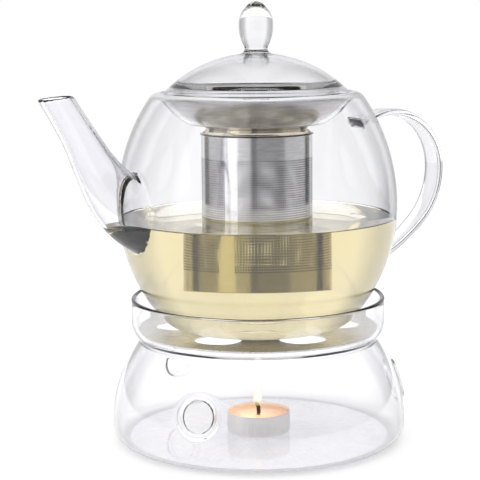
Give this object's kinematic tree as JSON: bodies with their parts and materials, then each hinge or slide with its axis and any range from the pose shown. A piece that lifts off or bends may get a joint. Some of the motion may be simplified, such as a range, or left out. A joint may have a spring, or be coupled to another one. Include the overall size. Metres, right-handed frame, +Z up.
{
  "type": "glass teapot",
  "caption": "Round glass teapot with a spout, a strap handle, a steel leaf infuser and a domed lid, standing on a matching glass tealight warmer.",
  "frame": {"origin": "centre of the warmer's flat underside, where the set stands on the table", "axes": "+Z up along the pot's axis, -X towards the spout, +X towards the handle"},
  "size_m": [0.2663, 0.1739, 0.2553],
  "materials": {
    "pot_glass": "clear, fire polished",
    "warmer_glass": "clear, fire polished",
    "lid_glass": "clear, fire polished",
    "plate_steel": "satin",
    "collar_steel": "polished",
    "basket_steel": "satin",
    "cup_aluminium": "bright pressed foil",
    "clip_steel": "plain",
    "wick_cord": "charred cotton",
    "candle_wax": "soft, translucent"
  },
  "bodies": {
    "warmer": {"warmer_body": "warmer_glass"},
    "plate": {"warmer_plate": "plate_steel"},
    "pot": {"pot_body": "pot_glass", "pot_neck": "pot_glass", "pot_spout": "pot_glass", "pot_handle": "pot_glass"},
    "infuser": {"infuser_collar": "collar_steel", "infuser_rim": "collar_steel", "infuser_basket": "basket_steel", "infuser_base": "basket_steel"},
    "lid": {"lid_dome": "lid_glass", "lid_skirt": "lid_glass", "lid_knob": "lid_glass"},
    "tealight": {"tealight_cup": "cup_aluminium", "tealight_wick_clip": "clip_steel", "tealight_wick": "wick_cord", "tealight_wax": "candle_wax"}
  },
  "joints": [
    {"name": "plate_lift", "type": "slide", "parent": "warmer", "child": "plate", "axis": [0, 0, 1], "range_m": [0, 0.05]},
    {"name": "pot_lift", "type": "slide", "parent": "plate", "child": "pot", "axis": [0, 0, 1], "range_m": [0, 0.05]},
    {"name": "infuser_lift", "type": "slide", "parent": "pot", "child": "infuser", "axis": [0, 0, 1], "range_m": [0, 0.13]},
    {"name": "lid_lift", "type": "slide", "parent": "infuser", "child": "lid", "axis": [0, 0, 1], "range_m": [0, 0.06]},
    {"name": "tealight_lift", "type": "slide", "parent": "warmer", "child": "tealight", "axis": [0, 0, 1], "range_m": [0, 0.04]}
  ]
}
